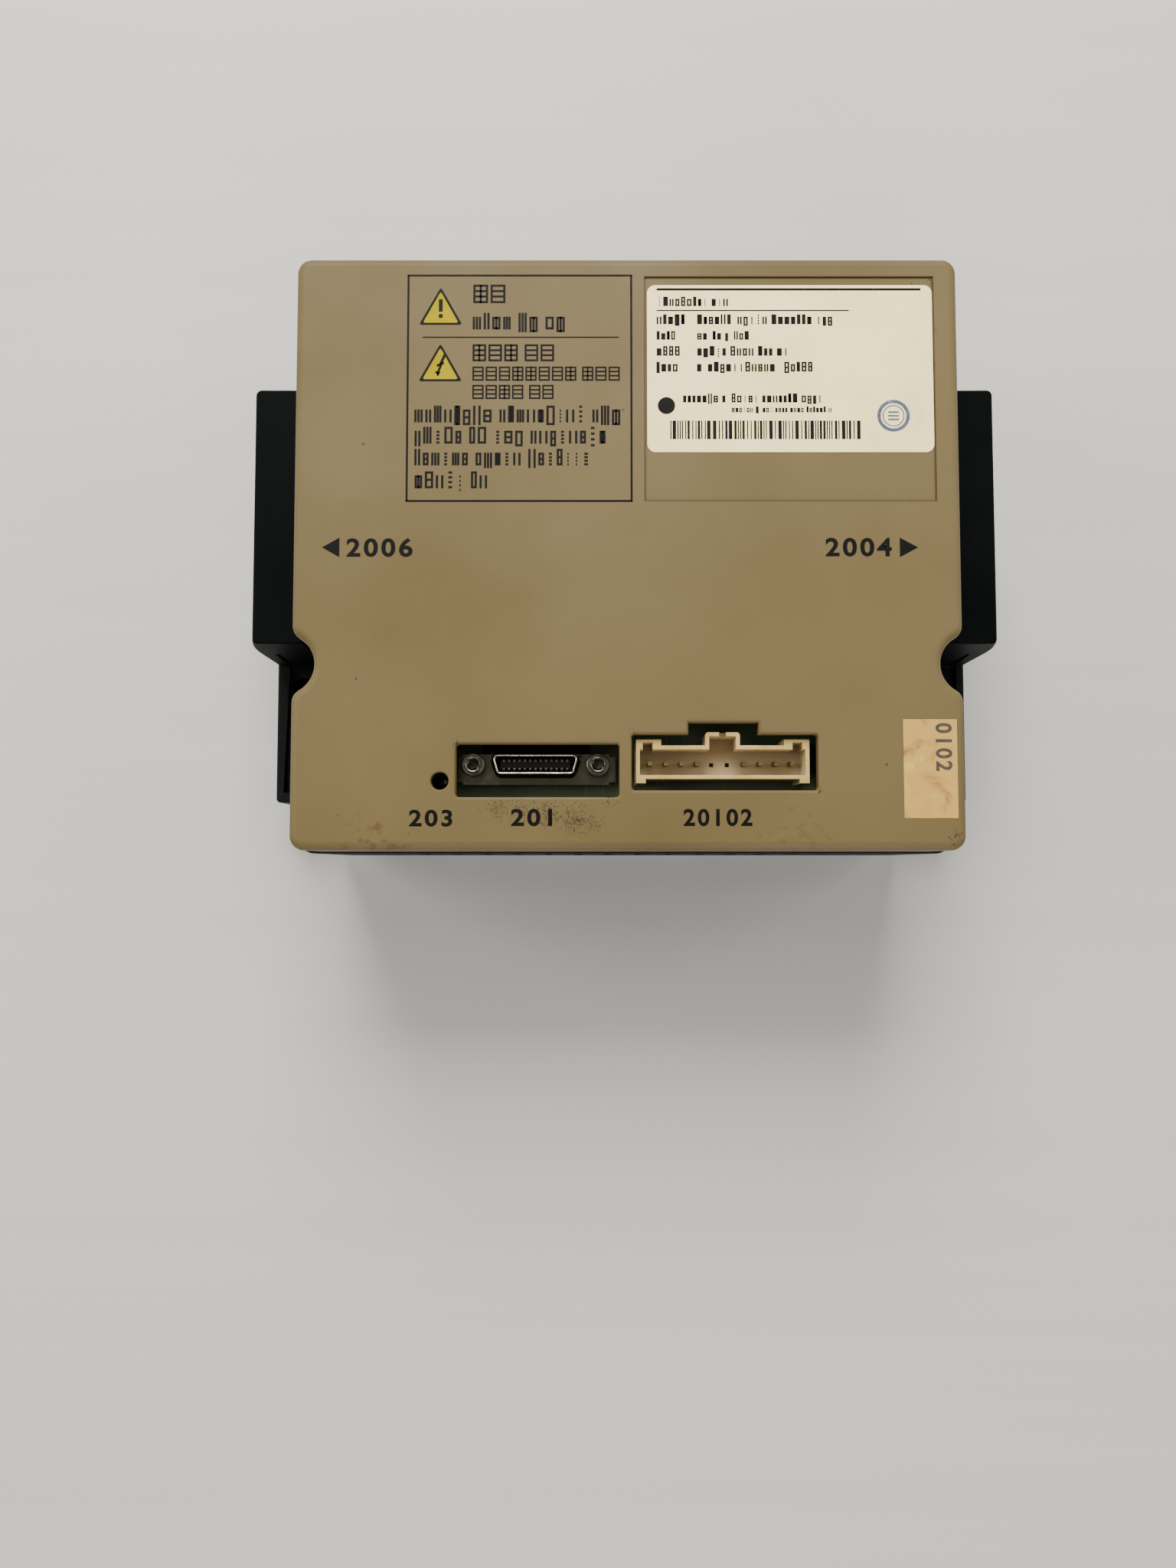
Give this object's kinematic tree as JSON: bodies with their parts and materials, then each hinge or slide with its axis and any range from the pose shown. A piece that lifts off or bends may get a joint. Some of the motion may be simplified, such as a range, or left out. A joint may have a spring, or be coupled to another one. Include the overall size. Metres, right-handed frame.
{
  "type": "servo drive",
  "caption": "Servo drive: beige moulded front cover with side tool notches on a black housing with side connector hoods, over boards, a power module and an aluminium base plate.",
  "frame": {"origin": "centre of the rear mounting face, at the bottom centre of the bounding box", "axes": "+Z out of the front cover, +Y up the face towards the rating label, +X right as seen from the front"},
  "size_m": [0.1952, 0.1446, 0.0801],
  "materials": {
    "beige_cover": "satin moulded, beige",
    "label_film": "semi-matt printed film",
    "sticker_paper": "yellowed matt paper",
    "black_housing": "satin moulded, black",
    "base_aluminium": "milled, natural",
    "thermal_sheet": "soft, matt",
    "module_copper": "nickel-free copper",
    "moulded_epoxy": "matt epoxy",
    "tinned_pins": "tinned",
    "zinc_screws": "zinc plated",
    "standoff_brass": "bright",
    "board_laminate": "green solder mask",
    "capacitor_sleeve": "glossy sleeve",
    "capacitor_box": "moulded box",
    "sensor_case": "moulded case",
    "relay_case": "glossy case",
    "cement_resistor": "white cement body",
    "ferrite": "sintered ferrite",
    "coil_tape": "taped winding",
    "white_packages": "moulded",
    "connector_nylon": "natural nylon",
    "tinned_contacts": "tinned brass",
    "black_insulator": "moulded",
    "gold_contacts": "gold flashed",
    "shell_nickel": "nickel plated",
    "jack_nickel": "nickel plated, turned",
    "header_nylon": "aged cream nylon",
    "lamp_lens": "tinted lens, unlit",
    "chip_epoxy": "matt epoxy",
    "crystal_can": "drawn can",
    "small_cans": "aluminium cans"
  },
  "bodies": {
    "chassis": {"housing": "black_housing", "left_hood": "black_housing", "right_hood": "black_housing", "base_plate": "base_aluminium", "thermal_sheet": "thermal_sheet", "module_base": "module_copper", "power_module": "moulded_epoxy", "module_pins": "tinned_pins", "module_screws": "zinc_screws", "housing_screws": "zinc_screws", "lower_standoffs": "standoff_brass", "power_board": "board_laminate", "upper_standoffs": "standoff_brass", "bus_capacitors": "capacitor_sleeve", "film_capacitor": "capacitor_box", "current_sensors": "sensor_case", "brake_relay": "relay_case", "brake_resistors": "cement_resistor", "transformer_core": "ferrite", "transformer_coil": "coil_tape", "optocouplers": "white_packages", "left_power_connector": "connector_nylon", "right_power_connector": "connector_nylon", "left_power_contacts": "tinned_contacts", "right_power_contacts": "tinned_contacts", "link_header": "black_insulator", "link_pins": "gold_contacts", "link_socket": "black_insulator", "control_board": "board_laminate", "control_board_screws": "zinc_screws", "signal_insulator": "black_insulator", "signal_contacts": "gold_contacts", "signal_shell": "shell_nickel", "signal_jack_sockets": "jack_nickel", "io_header": "header_nylon", "io_header_pins": "tinned_pins", "status_led": "lamp_lens", "processor": "chip_epoxy", "gate_array": "chip_epoxy", "memory_chips": "chip_epoxy", "line_drivers": "chip_epoxy", "crystal": "crystal_can", "filter_capacitors": "small_cans"},
    "cover": {"front_cover": "beige_cover", "rating_label": "label_film", "paper_sticker": "sticker_paper"}
  },
  "joints": [
    {"name": "cover_lift", "type": "slide", "parent": "chassis", "child": "cover", "axis": [0, 0, 1], "range_m": [0, 0.04]}
  ]
}
